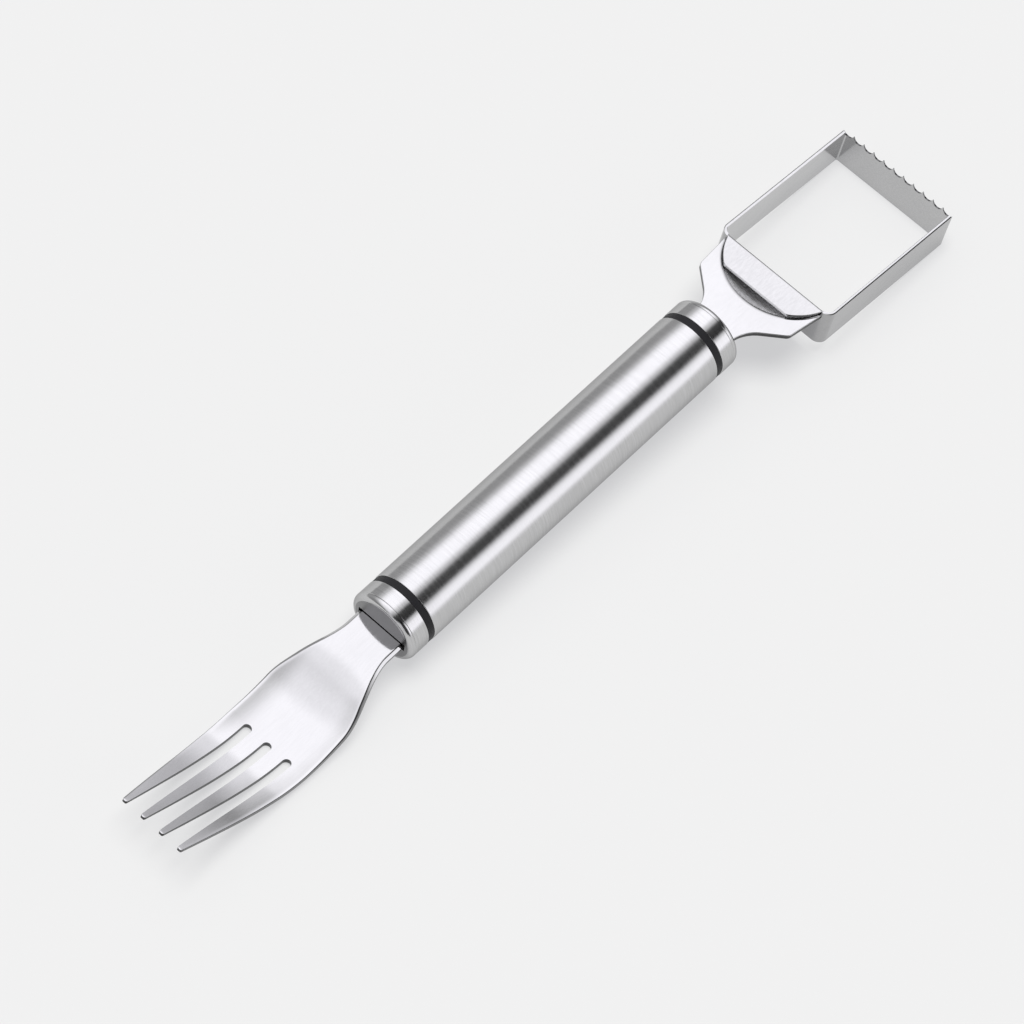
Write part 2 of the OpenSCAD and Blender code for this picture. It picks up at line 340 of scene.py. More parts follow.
def show(name: str, data: bpy.types.ID) -> bpy.types.Object:
    """Put a new object into the scene.

    Args:
        name: Name of the object.
        data: Its mesh, lamp or camera.

    Returns:
        The object.
    """
    made = bpy.data.objects.new(name, data)
    bpy.context.scene.collection.objects.link(made)
    return made


class ShaderTree:
    """Short way to add and join the nodes of a material or a world."""

    def __init__(self, tree: bpy.types.NodeTree) -> None:
        """Start with the emptied tree of a material or a world."""
        self.tree = tree
        self.tree.nodes.clear()

    def add(self, kind: str, links: dict[str, Any] | None = None, **settings: Any) -> bpy.types.Node:
        """Add a node.

        Args:
            kind: Blender's name of the node, without its prefix.
            links: Values or outputs for its inputs, by the inputs' names.
            **settings: Properties of the node.

        Returns:
            The new node.
        """
        node = self.tree.nodes.new("ShaderNode" + kind)
        for name, value in settings.items():
            setattr(node, name, value)
        for name, value in (links or {}).items():
            socket = node.inputs[int(name)] if name.isdigit() else node.inputs[name]
            if isinstance(value, bpy.types.NodeSocket):
                self.tree.links.new(value, socket)
            else:
                socket.default_value = value
        return node

    def remap(self, value: bpy.types.NodeSocket, span: Flat, target: Flat) -> bpy.types.NodeSocket:
        """Add a stretch from one range of values to another.

        Args:
            value: Value that is stretched.
            span: Lowest and highest value that count.
            target: What these two become.

        Returns:
            The stretched value.
        """
        links = {"Value": value, "From Min": span[0], "From Max": span[1],
                 "To Min": target[0], "To Max": target[1]}
        return self.add("MapRange", links).outputs[0]

    def multiply(self, first: bpy.types.NodeSocket, second: bpy.types.NodeSocket) -> bpy.types.NodeSocket:
        """Product of two colours."""
        links = {"Fac": 1.0, "Color1": first, "Color2": second}
        return self.add("MixRGB", links, blend_type="MULTIPLY").outputs[0]


class Grain(Enum):
    """Ways in which a surface is worked, with a mark's size along X, Y and Z of the handle, in metres."""

    TURNED = (0.00022, 0.006, 0.006)
    DRAWN = (0.009, 0.0004, 0.0004)
    BUFFED = (0.0012, 0.0009, 0.0009)
    ROLLED = (0.006, 0.0005, 0.00025)
    MOULDED = (0.00035, 0.00035, 0.00035)


@dataclass(frozen=True)
class Finish:
    """A worked surface: colour, gloss and the marks that the work leaves."""

    name: str
    slot: str
    color: Color
    roughness: Flat
    grain: Grain
    depth: float
    metallic: float = 1.0
    rim_tint: float = 1.0
    streak: float = 0.06
    mark_range: Flat = (0.3, 0.7)
    mark_detail: float = 3.0
    mark_roughness: float = 0.6
    mottle: float = 0.05
    mottle_size: float = 0.012
    mottle_detail: float = 2.0

    def tinted(self, change: float) -> tuple[float, ...]:
        """Colour that is lighter by a share, or darker where the share is less than 0."""
        return (*[min(1.0, c * (1 + change)) for c in self.color], 1.0)

    def material(self, tilt: float) -> bpy.types.Material:
        """Make the material.

        Args:
            tilt: Angle by which the handle climbs, so that the marks follow it.

        Returns:
            The new material.
        """
        made = bpy.data.materials.new(self.name)
        made.use_nodes = True
        nodes = ShaderTree(made.node_tree)
        place = nodes.add("TexCoord").outputs["Object"]
        turned = nodes.add("Mapping", {"Vector": place, "Rotation": (0.0, -tilt, 0.0),
                                       "Scale": self.grain.value}, vector_type="TEXTURE")
        marks = nodes.add("TexNoise", {"Vector": turned.outputs[0], "Scale": 1.0, "Detail": self.mark_detail,
                                       "Roughness": self.mark_roughness}).outputs["Fac"]
        broad = nodes.add("TexNoise", {"Vector": place, "Scale": 1 / self.mottle_size,
                                       "Detail": self.mottle_detail})
        gloss = nodes.remap(marks, self.mark_range, self.roughness)
        tint = nodes.add("MixRGB", {"Fac": broad.outputs["Fac"], "Color1": self.tinted(-self.mottle),
                                    "Color2": self.tinted(self.mottle)})
        lines = nodes.remap(marks, self.mark_range, (1 - self.streak, 1 + self.streak))
        worn = nodes.multiply(tint.outputs[0], lines)
        bump = nodes.add("Bump", {"Height": marks, "Strength": 1.0, "Distance": self.depth})
        shader = nodes.add("BsdfPrincipled", {"Base Color": worn, "Roughness": gloss,
                                              "Metallic": self.metallic, "Normal": bump.outputs[0],
                                              "Specular Tint": (*[self.rim_tint] * 3, 1.0)})
        nodes.add("OutputMaterial", {"Surface": shader.outputs[0]})
        return made


SATIN = Finish("satin_tube", "satin_steel", (0.55, 0.55, 0.552), (0.18, 0.24), Grain.TURNED, 2e-6,
               rim_tint=0.6)
CAP = Finish("drawn_cap", "cap_steel", (0.55, 0.55, 0.552), (0.13, 0.17), Grain.TURNED, 1e-6,
             rim_tint=0.6)
# The cap's flat end has a darker and rougher colour than its side.
CAP_END_DARKER = Finish("faced_cap_end", "cap_steel", (0.265, 0.265, 0.267), (0.38, 0.46), Grain.MOULDED, 2e-6)
POLISHED = Finish("polished_sheet", "polished_steel", (0.53, 0.53, 0.532), (0.05, 0.12), Grain.DRAWN, 6e-7,
                  streak=0.025)
# Painted shade: a rough cut edge whose near-black colour stands for the shade and dark reflections along the
# sheet's sides.
SHEARED_PAINTED_SHADE = Finish("sheared_edge", "polished_steel", (0.07, 0.07, 0.071), (0.3, 0.4), Grain.ROLLED, 1e-6)
# Painted shade: a dark colour that draws the dark lines along the fork's outline and along the teeth's cut
# edges.
TRIMMED_PAINTED_SHADE = Finish("trimmed_side", "polished_steel", (0.13, 0.13, 0.132), (0.22, 0.3), Grain.ROLLED, 1e-6)
# Painted light: the scoop is coloured far lighter than the sheet, which lifts the shade that falls in it
# under the flange.
PRESSED_PAINTED_LIGHT = Finish("pressed_scoop", "polished_steel", (0.88, 0.88, 0.882), (0.42, 0.5), Grain.BUFFED, 4e-7)
STRAP = Finish("rolled_strap", "blade_steel", (0.5, 0.5, 0.502), (0.12, 0.17), Grain.ROLLED, 5e-7)
# Painted shade: the strap's outer face is darker than its inside, standing for the shade on that face.
OUTSIDE_PAINTED_SHADE = Finish("strap_outside", "blade_steel", (0.41, 0.41, 0.412), (0.14, 0.2), Grain.ROLLED, 5e-7)
GROUND = Finish("ground_teeth", "blade_steel", (0.4, 0.4, 0.402), (0.32, 0.42), Grain.BUFFED, 2e-6)
RUBBER = Finish("black_band", "black_rubber", (0.022, 0.022, 0.024), (0.5, 0.66), Grain.MOULDED, 2e-5,
                metallic=0.0, rim_tint=0.3)
PLUG = Finish("moulded_plug", "core_plastic", (0.2, 0.2, 0.2), (0.45, 0.6), Grain.MOULDED, 5e-6,
              metallic=0.0)


class Workshop:
    """Makes pieces in the handle's frame and hands them to the tool's body."""

    def __init__(self, grip: Grip) -> None:
        """Keep the handle's frame, in which pieces are drawn."""
        self.grip = grip
        self.materials: dict[str, bpy.types.Material] = {}

    def material(self, finish: Finish) -> bpy.types.Material:
        """Material of a finish, made once.

        Args:
            finish: The worked surface.

        Returns:
            Its material.
        """
        if finish.name not in self.materials:
            self.materials[finish.name] = finish.material(self.grip.tilt)
        return self.materials[finish.name]

    def mesh(self, name: str, solid: Solid) -> bpy.types.Object:
        """Make an object with a solid's mesh.

        Args:
            name: Name of the object.
            solid: Its corners and faces.

        Returns:
            The object, with welded corners and faces that point out.
        """
        data = bpy.data.meshes.new(name)
        groups = (solid.faces, solid.walls, solid.accents, solid.edges)
        faces = [face for group in groups for face in group]
        data.from_pydata([self.grip.place(point) for point in solid.points], [], faces)
        slots = [number for number, group in enumerate(groups) for _ in group]
        data.polygons.foreach_set("material_index", slots)
        work = bmesh.new()
        work.from_mesh(data)
        bmesh.ops.remove_doubles(work, verts=work.verts, dist=WELD)
        bmesh.ops.dissolve_degenerate(work, dist=WELD, edges=work.edges)
        bmesh.ops.recalc_face_normals(work, faces=work.faces)
        work.to_mesh(data)
        work.free()
        return show(name, data)

    def piece(self, node: str, solid: Solid, finishes: tuple[Finish, ...],
              cuts: Iterable[Solid] = ()) -> None:
        """Make and dress the piece that stands for a node, and let it ride on the tool's body.

        Args:
            node: Name of the node; the piece is named after it.
            solid: Shape of the piece.
            finishes: Finish of its faces, then of its walls, its accents and its edges where it has them.
            cuts: Solids that are cut out of it.
        """
        made = self.mesh(node + "_piece", solid)
        for worn in finishes:
            made.data.materials.append(self.material(worn))
        for cut in cuts:
            self.cut(made, cut)
        made.data.shade_smooth()
        made.data.set_sharp_from_angle(angle=SHARP)
        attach(made, BODY)
        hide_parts(node)
        LOG.info("%s: %d faces, %s", made.name, len(made.data.polygons), finishes[0].name)

    def cut(self, piece: bpy.types.Object, solid: Solid) -> None:
        """Cut a solid out of a piece.

        Args:
            piece: Object whose mesh is cut.
            solid: What is taken away.
        """
        tool = self.mesh("tool", solid)
        change = piece.modifiers.new("cut", "BOOLEAN")
        change.operation = "DIFFERENCE"
        change.solver = "EXACT"
        change.object = tool
        whole = piece.data
        shaped = piece.evaluated_get(bpy.context.evaluated_depsgraph_get())
        piece.data = bpy.data.meshes.new_from_object(shaped)
        piece.modifiers.clear()
        bpy.data.meshes.remove(whole)
        bpy.data.meshes.remove(tool.data)

    def dress_node(self, node: str, finish: Finish) -> None:
        """Give a node that shows as it is a better material.

        Args:
            node: Name of the node.
            finish: What it is dressed in.
        """
        target = frame["nodes"][node]
        for slot in target.material_slots:
            slot.material = self.material(finish)
        LOG.info("%s: kept, %s", node, finish.name)


@dataclass
class Handle:
    """Tube, rubber rings and end caps, with the plugs inside them."""

    grip: Grip
    wall: float = 0.8
    rim: float = 0.14
    ring_w: float = 1.75
    ring_recess: float = 0.1
    cap_len: float = 5.1
    cap_end: float = 0.9
    cap_edge_r: float = 1.25
    cap_inset: float = 0.015
    groove: float = 0.08
    slot_clear: float = 0.35
    tang_len: float = 15.0
    key_d: float = 4.0
    rim_steps: int = 4
    edge_steps: int = 16
    band_steps: int = 12

    @property
    def ring_from(self) -> float:
        """Distance from the handle's middle to a ring."""
        return self.grip.length / 2

    @property
    def cap_from(self) -> float:
        """Distance from the handle's middle to a cap."""
        return self.ring_from + self.ring_w

    @property
    def face(self) -> float:
        """Distance from the handle's middle to a cap's flat end."""
        return self.cap_from + self.cap_len

    @property
    def tang_from(self) -> float:
        """Distance from the handle's middle to the inner end of a tang."""
        return self.face - self.tang_len

    def key_hole(self, side: Side) -> Solid:
        """Hole through a tang for the plug's key."""
        middle = self.face - self.cap_end - (self.tang_len - self.cap_end) / 2
        return Solid.peg(side.value * middle, self.key_d / 2, self.grip.radius / 2)

    def band(self, low: float, high: float, radius: float) -> Solid:
        """Sleeve with softened rims.

        Args:
            low: One end along the handle.
            high: The other end.
            radius: Outside radius.

        Returns:
            The sleeve as a solid.
        """
        bore = self.grip.radius - self.wall
        left = rounded_rim(low, radius, self.rim, -1, self.rim_steps)
        right = rounded_rim(high, radius, self.rim, 1, self.rim_steps)
        along = [(x, radius) for x in spread(low + self.rim, high - self.rim, self.band_steps)[1:-1]]
        return Solid.turned([(low, bore)] + left[::-1] + along + right + [(high, bore)])

    def cap(self, side: Side) -> Solid:
        """Drawn cup with a rounded end.

        Args:
            side: End of the handle that it closes.

        Returns:
            The cup without its slot.
        """
        outer, bore = self.grip.radius - self.cap_inset, self.grip.radius - self.wall
        lip = rounded_rim(self.cap_from, outer, self.rim, -1, self.rim_steps)
        edge = rounded_rim(self.face, outer, self.cap_edge_r, 1, self.edge_steps)
        start, deep = edge[0][0], self.groove
        groove = [(start - 3 * deep, outer), (start - 2 * deep, outer - deep), (start - deep, outer)]
        inside = self.face - self.cap_end
        profile = [(self.cap_from, bore)] + lip[::-1] + groove + edge
        profile += [(self.face, 0.0), (inside, 0.0), (inside, bore)]
        made = Solid.turned([(side.value * x, r) for x, r in profile])
        flat = side.value * self.face
        made.walls = [face for face in made.faces if all(abs(made.points[i][0] - flat) < LEVEL for i in face)]
        made.set_apart()
        return made

    def slot(self, side: Side, width: float, thick: float) -> Solid:
        """Slot through a cap's flat end for a tang.

        Args:
            side: End of the handle.
            width: Width of the tang.
            thick: Thickness of the tang.

        Returns:
            The box that is cut out.
        """
        half_w, half_t = width / 2 + self.slot_clear, thick / 2 + self.slot_clear
        end, reach = side.value * self.face, 2 * self.cap_end
        return Solid.box((end - reach, -half_w, -half_t), (end + reach, half_w, half_t))

    def build(self, shop: Workshop, tangs: dict[Side, Flat]) -> None:
        """Make and dress every piece of the handle.

        Args:
            shop: Where the pieces are made.
            tangs: Width and thickness of the tang at each end.
        """
        shop.piece("handle_tube", self.band(-self.ring_from, self.ring_from, self.grip.radius), (SATIN,))
        for side, tang in tangs.items():
            ends = sorted((side.value * self.ring_from, side.value * self.cap_from))
            shop.piece(f"{side.word}_ring", self.band(*ends, self.grip.radius - self.ring_recess), (RUBBER,))
            # The cap's flat end gets a darker colour than its side.
            shop.piece(f"{side.word}_cap", self.cap(side), (CAP, CAP_END_DARKER), [self.slot(side, *tang)])
            shop.dress_node(f"{side.word}_core", PLUG)


@dataclass(frozen=True)
class Pose:
    """Place and heading along the fork's middle line."""

    out: float
    height: float
    heading: float


@dataclass
class Fork:
    """Stamped and dished fork with four tapered tines and a tang."""

    handle: Handle
    thick: float = 1.6
    tip_thick: float = 0.7
    neck_w: float = 12.0
    bowl_w: float = 21.2
    flare_from: float = 4.0
    flare_len: float = 17.5
    dish: float = 1.2
    neck_run: float = 4.6
    dip_r: float = 20.0
    dip_turn: float = 31.0
    belly_r: float = 31.0
    belly_rise: float = 20.0
    sweep_r: float = 100.0
    sweep_turn: float = 6.5
    tip_run: float = 16.5
    tines: int = 4
    slot_root: float = 32.2
    slot_w: float = 2.1
    root_pitch: float = 5.5
    tip_pitch: float = 5.0
    tip_w: float = 1.15
    tip_r: float = 0.5
    edge_r: float = 0.25
    bevel_w: float = 0.65
    tine_bevel_w: float = 0.1
    bevel_turn: float = 42.0
    bevel_soft: float = 0.12
    narrowing: float = 1.5
    root_places: tuple[float, ...] = (2.0, 1.4, 1.0, 0.7, 0.42, 0.2, 0.06)
    tang_rows: int = 8
    bowl_rows: int = 70
    root_rows: int = 10
    tine_rows: int = 48
    tip_rows: int = 8
    row_digits: int = 6
    across_steps: int = 8

    def __post_init__(self) -> None:
        """Walk along the bends once and keep where each begins."""
        belly_turn = self.dip_turn + self.belly_rise
        bends = [(self.handle.tang_len + self.neck_run, 0.0), (self.dip_r, -self.dip_turn),
                 (self.belly_r, belly_turn), (self.sweep_r, self.sweep_turn), (self.tip_run, 0.0)]
        self.legs: list[tuple[Pose, float, float]] = []
        here = Pose(self.handle.tang_from, 0.0, 0.0)
        for size, turn in bends:
            self.legs.append((here, size, math.radians(turn)))
            here = self.after(here, size, math.radians(turn), 1.0)
        self.tip = here
        self.root = self.handle.face + self.slot_root
        self.root_mid = self.root + self.slot_w / 2

    @staticmethod
    def after(start: Pose, size: float, turn: float, share: float) -> Pose:
        """Pose after a share of a leg.

        Args:
            start: Pose at which the leg begins.
            size: Length of a straight leg, or radius of a bend.
            turn: Angle of the bend in radians, 0 for a straight leg.
            share: Share of the leg that is walked.

        Returns:
            The pose there.
        """
        if turn == 0.0:
            run = size * share
            return Pose(start.out + run * math.cos(start.heading),
                        start.height + run * math.sin(start.heading), start.heading)
        r = math.copysign(size, turn)
        heading = start.heading + turn * share
        return Pose(start.out + r * (math.sin(heading) - math.sin(start.heading)),
                    start.height - r * (math.cos(heading) - math.cos(start.heading)), heading)

    def pose(self, out: float) -> Pose:
        """Pose of the middle line at a distance out along the handle.

        Args:
            out: Distance from the handle's middle.

        Returns:
            The pose there.
        """
        start, size, turn = next((leg for leg in reversed(self.legs) if leg[0].out <= out), self.legs[0])
        if turn == 0.0:
            return self.after(start, size, turn, (out - start.out) / (size * math.cos(start.heading)))
        r = math.copysign(size, turn)
        heading = math.asin(max(-1.0, min(1.0, (out - start.out) / r + math.sin(start.heading))))
        return self.after(start, size, turn, (heading - start.heading) / turn)

    def taper(self, out: float) -> float:
        """Share of the way from the slots' roots to the tips."""
        return max(0.0, (out - self.root) / (self.tip.out - self.root))

    def flare(self, out: float) -> float:
        """Share of the way from the neck's width to the bowl's."""
        return ease((out - self.handle.face - self.flare_from) / self.flare_len)

    def half_width(self, out: float) -> float:
        """Half the fork's width.

        Args:
            out: Distance from the handle's middle.

        Returns:
            Half the width there.
        """
        tip_width = (self.tines - 1) * self.tip_pitch + self.tip_w
        narrow = (self.bowl_w - tip_width) * self.taper(out) ** self.narrowing
        return (self.neck_w + (self.bowl_w - self.neck_w) * self.flare(out) - narrow) / 2

    def slot_mid(self, number: float, out: float) -> float:
        """Middle of a slot at a distance out; the slots are numbered from the fork's middle."""
        share = max(0.0, (out - self.root_mid) / (self.tip.out - self.root_mid))
        return number * (self.root_pitch + (self.tip_pitch - self.root_pitch) * share)

    def slot_half(self, out: float) -> float:
        """Half a slot's width.

        Args:
            out: Distance from the handle's middle.

        Returns:
            Half the width there, 0 back of the slot's root.
        """
        r = self.slot_w / 2
        if out <= self.root:
            return 0.0
        if out < self.root_mid:
            return math.sqrt(max(0.0, r * r - (self.root_mid - out) ** 2))
        share = (out - self.root_mid) / (self.tip.out - self.root_mid)
        return r + ((self.tip_pitch - self.tip_w) / 2 - r) * share * share

    def slots(self) -> list[float]:
        """Numbers of the slots, counted from the fork's middle."""
        return [i - (self.tines - 2) / 2 for i in range(self.tines - 1)]

    def strips(self, out: float) -> list[Flat]:
        """Edges of each tine at a distance out; back of the roots they touch each other.

        Args:
            out: Distance from the handle's middle.

        Returns:
            Lower and upper edge of each tine, across the fork.
        """
        half, gap = self.half_width(out), self.slot_half(out)
        mids = [self.slot_mid(n, out) for n in self.slots()]
        lows = [-half] + [m + gap for m in mids]
        highs = [m - gap for m in mids] + [half]
        over = out - (self.tip.out - self.tip_r)
        trim = self.tip_r - math.sqrt(max(0.0, self.tip_r ** 2 - over ** 2)) if over > 0 else 0.0
        return [(low + trim, high - trim) for low, high in zip(lows, highs)]

    def rim(self, out: float, y: float) -> float:
        """Distance in from the fork's outline, which is bevelled; the slots' edges don't count."""
        return min(from_edge(self.half_width, out, abs(y)), self.tip.out - out)

    def inside(self, out: float, y: float) -> float:
        """Distance in from the nearest edge of the sheet, the slots' edges included.

        Args:
            out: Distance from the handle's middle.
            y: Place across the fork.

        Returns:
            The distance, in millimetres.
        """
        near = [self.rim(out, y)]
        for n in self.slots():
            off = abs(y - self.slot_mid(n, out))
            ahead = math.hypot(out - self.root_mid, off) - self.slot_w / 2
            near.append(ahead if out < self.root_mid else off - self.slot_half(out))
        return min(near)

    def bevel(self, out: float) -> float:
        """Width of the upper edge's bevel.

        Args:
            out: Distance from the handle's middle.

        Returns:
            The width, broad at the neck and narrow on the tines.
        """
        share = ease((out - self.handle.face - self.flare_from) / self.slot_root)
        thin = 1 + (self.tip_thick / self.thick - 1) * self.taper(out)
        return thin * (self.bevel_w + (self.tine_bevel_w - self.bevel_w) * share)

    def fall(self, out: float, inside: float) -> float:
        """Drop of the upper skin near the outline, which fades out softly above the bevel."""
        over = self.bevel(out) - inside
        return math.tan(math.radians(self.bevel_turn)) * (over + math.hypot(over, self.bevel_soft)) / 2

    def stations(self) -> list[float]:
        """Places of the rows of corners along the fork.

        Returns:
            Distances from the handle's middle, close together where outlines round.
        """
        r = self.slot_w / 2
        before = [self.root - self.edge_r * share for share in self.root_places]
        arc = [self.root + r * (1 - math.cos(a)) for a in spread(0.0, QUARTER, self.root_rows)]
        ends = [self.tip.out - self.tip_r * (1 - math.sin(a)) for a in spread(0.0, QUARTER, self.tip_rows)]
        tang = spread(self.handle.tang_from, self.handle.face, self.tang_rows)
        bowl = spread(self.handle.face, before[0], self.bowl_rows)
        blades = spread(arc[-1], ends[0], self.tine_rows)
        return sorted({round(out, self.row_digits) for out in tang + bowl + before + arc + blades + ends})

    def skins(self, out: float, y: float) -> tuple[Point, Point]:
        """Corners of the upper and the lower skin.

        Args:
            out: Distance from the handle's middle.
            y: Place across the fork.

        Returns:
            The upper and the lower corner, in the handle's frame.
        """
        pose = self.pose(out)
        thick = self.thick + (self.tip_thick - self.thick) * self.taper(out)
        across = y / self.half_width(out)
        lift = self.dish * self.flare(out) * (1 - self.taper(out)) * across * across
        half = rounded_half(thick, self.edge_r * thick / self.thick, self.inside(out, y))
        lean = (math.sin(pose.heading), math.cos(pose.heading))
        heights = (lift + thick / 2 - self.fall(out, max(0.0, self.rim(out, y))), lift - half)
        pair = [(-(pose.out - h * lean[0]), y, pose.height + h * lean[1]) for h in heights]
        return pair[0], pair[1]

    def build(self, shop: Workshop) -> None:
        """Make and dress the fork.

        Args:
            shop: Where the piece is made.
        """
        sheet = Sheet()
        rows: list[list[list[int]]] = [[] for _ in range(self.tines)]
        for number, out in enumerate(self.stations()):
            for tine, (low, high) in enumerate(self.strips(out)):
                places = across_strip(low, high, self.bevel(out), self.across_steps)
                rows[tine].append([sheet.corner(number, y, *self.skins(out, y)) for y in places])
        for tine in rows:
            sheet.patch(tine)
        made = sheet.solid()
        # The slots' walls are painted near-black for shade, and the outline's sides carry painted dark lines
        # of shade.
        outline = {row[0] for row in rows[0]} | {row[-1] for row in rows[-1]}
        made.accents = [wall for wall in made.walls if outline.issuperset(wall[:2])]
        made.walls = [wall for wall in made.walls if not outline.issuperset(wall[:2])]
        shop.piece("fork", made, (POLISHED, SHEARED_PAINTED_SHADE, TRIMMED_PAINTED_SHADE), [self.handle.key_hole(Side.FORK)])


@dataclass
class CutterNeck:
    """Stamped plate that carries the blade: a tang, a bend, two wings and a scoop."""

    handle: Handle
    thick: float = 1.2
    neck_w: float = 10.4
    bend_out: float = 0.2
    bend_r: float = 6.0
    head_pitch: float = 8.6
    length: float = 20.6
    flare_r: float = 9.0
    flare_turn: float = 48.0
    wing_w: float = 25.4
    wing_root_w: float = 27.4
    wing_r: float = 1.8
    scoop_d: float = 28.4
    scoop_depth: float = 3.2
    scoop_at: float = 24.8
    scoop_rim: float = 0.2
    edge_r: float = 0.14
    tang_rows: int = 10
    bend_rows: int = 10
    plate_rows: int = 150
    across_steps: int = 130

    @property
    def dip(self) -> float:
        """Angle by which the cutter dips below the handle, in radians."""
        return math.radians(self.head_pitch)

    def head(self, u: float, v: float, w: float) -> Point:
        """Move a point of the head's frame to the handle's.

        Args:
            u: Distance from the bend along the plate.
            v: Distance across.
            w: Height above the plate's middle.

        Returns:
            The point in the handle's frame.
        """
        x = self.handle.face + self.bend_out + self.bend_r * math.sin(self.dip)
        z = -self.bend_r * (1 - math.cos(self.dip))
        return (x + u * math.cos(self.dip) + w * math.sin(self.dip), v,
                z - u * math.sin(self.dip) + w * math.cos(self.dip))

    def bent(self, u: float, v: float, w: float) -> Point:
        """Point of the sheet, measured along it; behind the bend u is less than 0.

        Args:
            u: Distance along the sheet from the end of the bend.
            v: Distance across.
            w: Height above the sheet's middle.

        Returns:
            The point in the handle's frame.
        """
        if u >= 0:
            return self.head(u, v, w)
        arc = self.bend_r * self.dip
        start = self.handle.face + self.bend_out
        if u <= -arc:
            return (start + u + arc, v, w)
        turn = self.dip * (1 + u / arc)
        r = self.bend_r + w
        return (start + r * math.sin(turn), v, r * math.cos(turn) - self.bend_r)

    def half_width(self, u: float) -> float:
        """Half the plate's width at a distance along it.

        Args:
            u: Distance from the end of the bend.

        Returns:
            Half the width.
        """
        turn, neck = math.radians(self.flare_turn), self.neck_w / 2
        if u <= 0:
            return neck
        flare_u = self.flare_r * math.sin(turn)
        if u <= flare_u:
            return neck + self.flare_r - math.sqrt(self.flare_r ** 2 - u * u)
        flare_w = neck + self.flare_r * (1 - math.cos(turn))
        corner = flare_u + (self.wing_w / 2 - flare_w) / math.tan(turn)
        edge = math.atan2((self.wing_root_w - self.wing_w) / 2, self.length - corner)
        cut = self.wing_r * math.tan((turn - edge) / 2)
        start = (corner - cut * math.cos(turn), self.wing_w / 2 - cut * math.sin(turn))
        if u <= start[0]:
            return flare_w + (u - flare_u) * math.tan(turn)
        if u >= corner + cut * math.cos(edge):
            return self.wing_w / 2 + (u - corner) * math.tan(edge)
        middle = (start[0] + self.wing_r * math.sin(turn), start[1] - self.wing_r * math.cos(turn))
        return middle[1] + math.sqrt(max(0.0, self.wing_r ** 2 - (u - middle[0]) ** 2))

    def sunk(self, u: float, v: float) -> float:
        """Depth of the scoop, which has a softened rim.

        Args:
            u: Distance from the end of the bend.
            v: Distance across.

        Returns:
            The depth there.
        """
        ball = ((self.scoop_d / 2) ** 2 + self.scoop_depth ** 2) / (2 * self.scoop_depth)
        off = math.hypot(u - self.scoop_at, v)
        depth = self.scoop_depth - ball + math.sqrt(max(0.0, ball * ball - off * off))
        return (depth + math.hypot(depth, self.scoop_rim)) / 2

    def inside(self, u: float, v: float) -> float:
        """Distance in from the plate's side edge."""
        return from_edge(self.half_width, u, abs(v))

    def build(self, shop: Workshop) -> None:
        """Make and dress the neck.

        Args:
            shop: Where the piece is made.
        """
        sheet = Sheet()
        arc = self.bend_r * self.dip
        back = -arc - self.bend_out - self.handle.tang_len
        stations = spread(back, -arc, self.tang_rows)[:-1] + spread(-arc, 0.0, self.bend_rows)[:-1]
        stations += spread(0.0, self.length, self.plate_rows)
        rows: list[list[int]] = []
        sunk: list[float] = []
        for number, u in enumerate(stations):
            half = self.half_width(u)
            row: list[int] = []
            for v in across_strip(-half, half, self.edge_r, self.across_steps):
                h = rounded_half(self.thick, self.edge_r, self.inside(u, v))
                low = self.sunk(u, v) if u > 0 else 0.0
                sunk.append(low)
                row.append(sheet.corner(number, v, self.bent(u, v, h - low), self.bent(u, v, -h - low)))
            rows.append(row)
        sheet.patch(rows)
        made = sheet.solid()
        # The scoop gets painted light that lifts its shade, and the plate's cut edges get painted shade.
        made.accents = [face for face in sheet.faces if all(sunk[i] > self.scoop_rim for i in face)]
        made.set_apart()
        shop.piece("cutter_neck", made, (POLISHED, SHEARED_PAINTED_SHADE, PRESSED_PAINTED_LIGHT), [self.handle.key_hole(Side.CUTTER)])


@dataclass(frozen=True)
class Station:
    """Place on the outer face of the blade's loop, and the form that the strap has there.

    u runs along the neck plate and v across it. out is the way out of the loop, and reach is the flange's.
    """

    u: float
    v: float
    out: Flat
    reach: float = 0.0
    folded: bool = False
    toothed: bool = False


